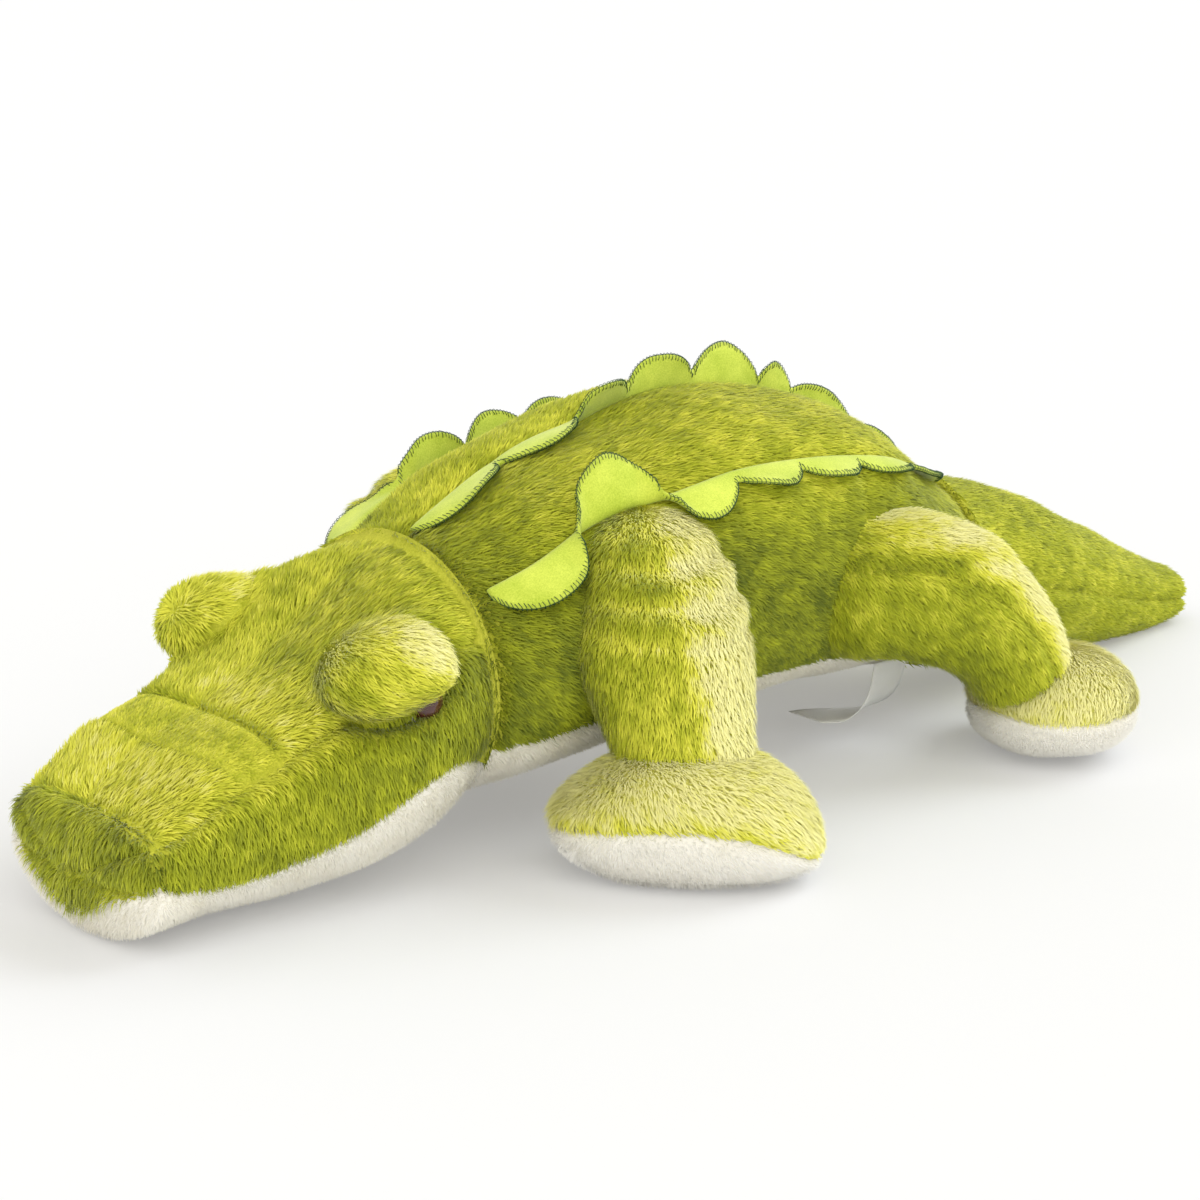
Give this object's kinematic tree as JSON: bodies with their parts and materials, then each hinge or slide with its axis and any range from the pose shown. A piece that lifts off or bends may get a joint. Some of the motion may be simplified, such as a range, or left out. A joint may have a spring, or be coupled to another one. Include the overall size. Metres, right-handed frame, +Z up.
{
  "type": "plush crocodile toy",
  "caption": "Soft stuffed crocodile lying on its belly, with sewn plush panels, rows of felt back scales, stuffed legs and feet, and a tapering tail.",
  "frame": {"origin": "centre of the bounding box in plan, on the floor that the toy lies on", "axes": "-X out of the nose, +X towards the tail tip, -Y to the toy's left side, +Z up"},
  "size_m": [0.534, 0.2438, 0.1455],
  "materials": {
    "green_plush": "short green pile fur",
    "white_plush": "short white pile",
    "green_felt": "matte felt with overlocked edge",
    "fibre_fill": "polyester stuffing",
    "white_satin": "woven satin tape",
    "eye_plastic": "polished",
    "washer_plastic": "moulded"
  },
  "bodies": {
    "body": {"body_stuffing": "fibre_fill", "back_panel_left": "green_plush", "back_panel_right": "green_plush", "side_panel_left": "green_plush", "side_panel_right": "green_plush", "belly_panel": "white_plush", "scale_strip_left": "green_felt", "scale_strip_right": "green_felt", "scale_strip_spine": "green_felt"},
    "head": {"head_stuffing": "fibre_fill", "head_top_panel": "green_plush", "nose_panel": "green_plush", "cheek_panel_left": "green_plush", "cheek_panel_right": "green_plush", "chin_panel": "white_plush", "eye_brow_left": "green_plush", "eye_brow_right": "green_plush", "eye_left": "eye_plastic", "eye_right": "eye_plastic", "eye_washer_left": "washer_plastic", "eye_washer_right": "washer_plastic"},
    "tail": {"tail_stuffing": "fibre_fill", "tail_top_panel": "green_plush", "tail_under_panel": "green_plush"},
    "label": {"care_label": "white_satin"},
    "front_leg_left": {"front_leg_left": "green_plush", "front_leg_left_stuffing": "fibre_fill"},
    "front_foot_left": {"front_foot_left_top": "green_plush", "front_foot_left_sole": "white_plush", "front_foot_left_stuffing": "fibre_fill"},
    "front_leg_right": {"front_leg_right": "green_plush", "front_leg_right_stuffing": "fibre_fill"},
    "front_foot_right": {"front_foot_right_top": "green_plush", "front_foot_right_sole": "white_plush", "front_foot_right_stuffing": "fibre_fill"},
    "hind_leg_left": {"hind_leg_left": "green_plush", "hind_leg_left_stuffing": "fibre_fill"},
    "hind_foot_left": {"hind_foot_left_top": "green_plush", "hind_foot_left_sole": "white_plush", "hind_foot_left_stuffing": "fibre_fill"},
    "hind_leg_right": {"hind_leg_right": "green_plush", "hind_leg_right_stuffing": "fibre_fill"},
    "hind_foot_right": {"hind_foot_right_top": "green_plush", "hind_foot_right_sole": "white_plush", "hind_foot_right_stuffing": "fibre_fill"}
  },
  "joints": [
    {"name": "neck", "type": "hinge", "parent": "body", "child": "head", "pos_m": [-0.11889, 0, 0.0585], "axis": [0, 0, 1], "range_deg": [-18, 18], "stiffness_Nm_per_rad": 0.3},
    {"name": "tail_seam", "type": "hinge", "parent": "body", "child": "tail", "pos_m": [0.05734, 0, 0.051], "axis": [0, 0, 1], "range_deg": [-22, 22], "stiffness_Nm_per_rad": 0.2},
    {"name": "label_seam", "type": "hinge", "parent": "body", "child": "label", "pos_m": [0.041, -0.03949, 0.03179], "axis": [1, 0, 0], "range_deg": [0, 20]},
    {"name": "shoulder_left", "type": "hinge", "parent": "body", "child": "front_leg_left", "pos_m": [-0.089, -0.0505, 0.08], "axis": [0, -1, 0], "range_deg": [-20, 20], "stiffness_Nm_per_rad": 0.12},
    {"name": "front_ankle_left", "type": "hinge", "parent": "front_leg_left", "child": "front_foot_left", "pos_m": [-0.103, -0.0835, 0.038], "axis": [0.7771, 0.6293, 0], "range_deg": [-16, 16], "stiffness_Nm_per_rad": 0.06},
    {"name": "shoulder_right", "type": "hinge", "parent": "body", "child": "front_leg_right", "pos_m": [-0.089, 0.0505, 0.08], "axis": [0, 1, 0], "range_deg": [-20, 20], "stiffness_Nm_per_rad": 0.12},
    {"name": "front_ankle_right", "type": "hinge", "parent": "front_leg_right", "child": "front_foot_right", "pos_m": [-0.103, 0.0835, 0.038], "axis": [0.7771, -0.6293, 0], "range_deg": [-16, 16], "stiffness_Nm_per_rad": 0.06},
    {"name": "hip_left", "type": "hinge", "parent": "body", "child": "hind_leg_left", "pos_m": [0.011, -0.0506, 0.066], "axis": [0, -1, 0], "range_deg": [-20, 20], "stiffness_Nm_per_rad": 0.12},
    {"name": "hind_ankle_left", "type": "hinge", "parent": "hind_leg_left", "child": "hind_foot_left", "pos_m": [0.051, -0.0826, 0.034], "axis": [0.766, -0.6428, 0], "range_deg": [-16, 16], "stiffness_Nm_per_rad": 0.06},
    {"name": "hip_right", "type": "hinge", "parent": "body", "child": "hind_leg_right", "pos_m": [0.011, 0.0506, 0.066], "axis": [0, 1, 0], "range_deg": [-20, 20], "stiffness_Nm_per_rad": 0.12},
    {"name": "hind_ankle_right", "type": "hinge", "parent": "hind_leg_right", "child": "hind_foot_right", "pos_m": [0.051, 0.0826, 0.034], "axis": [0.766, 0.6428, 0], "range_deg": [-16, 16], "stiffness_Nm_per_rad": 0.06}
  ]
}
